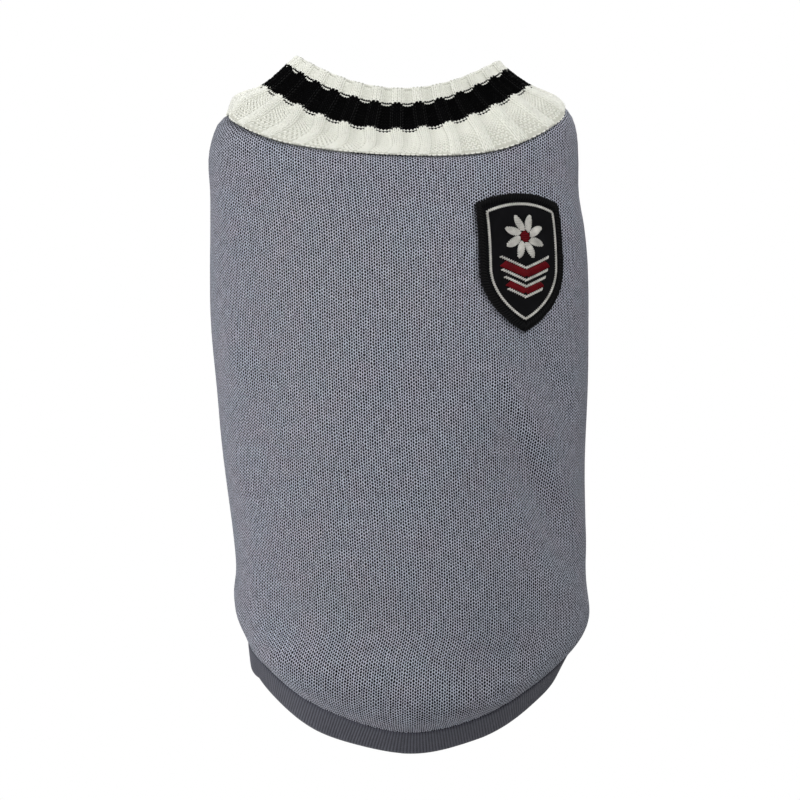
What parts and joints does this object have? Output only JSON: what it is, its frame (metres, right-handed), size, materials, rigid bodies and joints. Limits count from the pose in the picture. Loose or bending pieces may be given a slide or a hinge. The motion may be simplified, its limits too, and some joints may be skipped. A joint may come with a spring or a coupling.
{
  "type": "dog sweater",
  "caption": "Sleeveless knitted dog sweater, hollow and filled out, with a wide ribbed striped collar, armhole bands, a ribbed hem that slopes up to the belly, and an embroidered shield badge.",
  "frame": {"origin": "centre of the neck seam, where the collar joins the body", "axes": "+Z towards the neck, +Y towards the belly (the back faces -Y), +X towards the wearer's right side"},
  "size_m": [0.1635, 0.118, 0.2991],
  "materials": {
    "grey_knit": "matt",
    "grey_rib": "matt",
    "cream_rib": "matt",
    "badge_felt": "matt"
  },
  "bodies": {
    "root": {"back_panel": "grey_knit", "chest_panel": "grey_knit", "collar": "cream_rib", "armhole_band_right": "grey_rib", "armhole_band_left": "grey_rib", "hem_band": "grey_rib", "badge": "badge_felt"}
  },
  "joints": []
}
